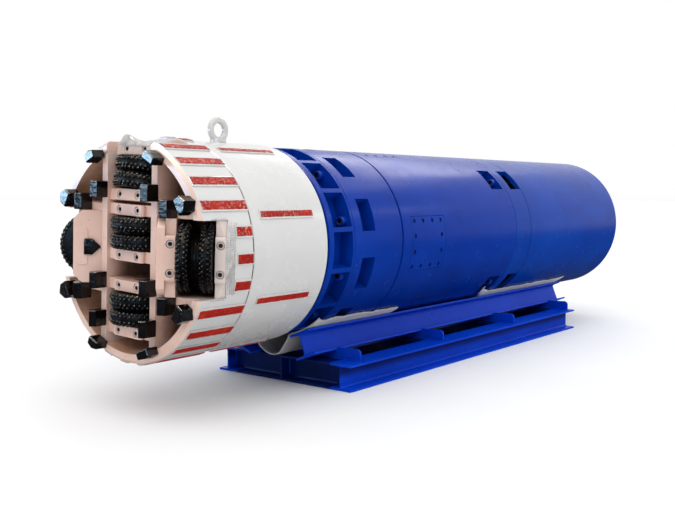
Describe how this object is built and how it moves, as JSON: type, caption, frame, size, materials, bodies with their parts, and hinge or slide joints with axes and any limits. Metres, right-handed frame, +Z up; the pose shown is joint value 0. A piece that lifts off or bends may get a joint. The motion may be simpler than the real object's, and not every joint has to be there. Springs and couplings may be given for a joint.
{
  "type": "rock pipe jacking machine on a transport cradle",
  "caption": "Cylindrical pipe jacking machine with a white rock cutterhead of black roller cutters, a blue body and a blue steel cradle.",
  "frame": {"origin": "on the floor under the middle of the machine's length", "axes": "+X along the machine from the cutterhead to the tail, +Y to the far side, +Z up"},
  "size_m": [3.3324, 0.7545, 1.009],
  "materials": {
    "white_paint": "satin",
    "red_hardfacing": "rough",
    "cutter_black": "gloss",
    "pick_black": "gloss",
    "axle_steel": "satin",
    "seal_rubber": "matte",
    "blue_paint": "gloss",
    "cradle_blue": "gloss",
    "machine_grey": "satin",
    "gland_black": "matte",
    "liner_mat": "matte"
  },
  "bodies": {
    "rear_body": {"flange_ring": "blue_paint", "front_can": "blue_paint", "main_can": "blue_paint", "inspection_covers": "blue_paint", "tail_can": "blue_paint", "rear_bulkhead": "blue_paint", "slurry_feed_pipe": "blue_paint", "slurry_return_pipe": "blue_paint", "junction_box": "machine_grey", "cable_glands": "gland_black", "power_unit": "machine_grey", "base_beam_near": "cradle_blue", "base_beam_far": "cradle_blue", "cross_beams": "cradle_blue", "saddle_beam_near": "cradle_blue", "saddle_beam_far": "cradle_blue", "saddle_gussets": "cradle_blue", "beam_stiffeners": "cradle_blue", "front_liner": "liner_mat", "rear_liner": "liner_mat"},
    "steering_joint": {"steering_ring": "seal_rubber"},
    "front_section": {"shield_shell": "white_paint", "front_bulkhead": "white_paint", "main_drive": "machine_grey", "shield_bars": "white_paint", "shield_bar_facings": "red_hardfacing", "lifting_eye": "white_paint"},
    "cutterhead": {"head_shell": "white_paint", "head_back_plate": "white_paint", "main_shaft": "axle_steel", "head_ribs": "white_paint", "head_arms": "white_paint", "gauge_walls": "white_paint", "cutter_seats": "white_paint", "cutter_caps": "white_paint", "cutter_axles": "axle_steel", "face_picks": "pick_black", "rim_picks": "pick_black", "head_bars": "white_paint", "head_bar_facings": "red_hardfacing"},
    "top_cutter_roller": {"top_cutter": "cutter_black"},
    "centre_cutter_roller": {"centre_cutter": "cutter_black"},
    "lower_cutter_roller": {"lower_cutter": "cutter_black"},
    "near_gauge_cutter_roller": {"near_gauge_cutter": "cutter_black"},
    "far_gauge_cutter_roller": {"far_gauge_cutter": "cutter_black"}
  },
  "joints": [
    {"name": "steering_yaw", "type": "hinge", "parent": "rear_body", "child": "steering_joint", "pos_m": [-1.0198, 0, 0.552], "axis": [0, 0, 1], "range_deg": [-1.5, 1.5]},
    {"name": "steering_pitch", "type": "hinge", "parent": "steering_joint", "child": "front_section", "pos_m": [-1.0198, 0, 0.552], "axis": [0, 1, 0], "range_deg": [-1.5, 1.5]},
    {"name": "cutterhead_spin", "type": "hinge", "parent": "front_section", "child": "cutterhead", "pos_m": [-1.5098, 0, 0.552], "axis": [1, 0, 0], "continuous": true},
    {"name": "top_cutter_spin", "type": "hinge", "parent": "cutterhead", "child": "top_cutter_roller", "pos_m": [-1.53374, -0.01203, 0.79794], "axis": [0.1736, -0.0481, 0.9836], "continuous": true},
    {"name": "centre_cutter_spin", "type": "hinge", "parent": "cutterhead", "child": "centre_cutter_roller", "pos_m": [-1.5458, -0.00286, 0.61043], "axis": [0, -0.0488, 0.9988], "continuous": true},
    {"name": "lower_cutter_spin", "type": "hinge", "parent": "cutterhead", "child": "lower_cutter_roller", "pos_m": [-1.5458, 0.00935, 0.36073], "axis": [0, -0.0488, 0.9988], "continuous": true},
    {"name": "near_gauge_cutter_spin", "type": "hinge", "parent": "cutterhead", "child": "near_gauge_cutter_roller", "pos_m": [-1.54251, -0.26353, 0.53911], "axis": [0.6428, -0.7651, -0.0374], "continuous": true},
    {"name": "far_gauge_cutter_spin", "type": "hinge", "parent": "cutterhead", "child": "far_gauge_cutter_roller", "pos_m": [-1.54251, 0.26353, 0.56489], "axis": [0.6428, 0.7651, 0.0374], "continuous": true}
  ]
}
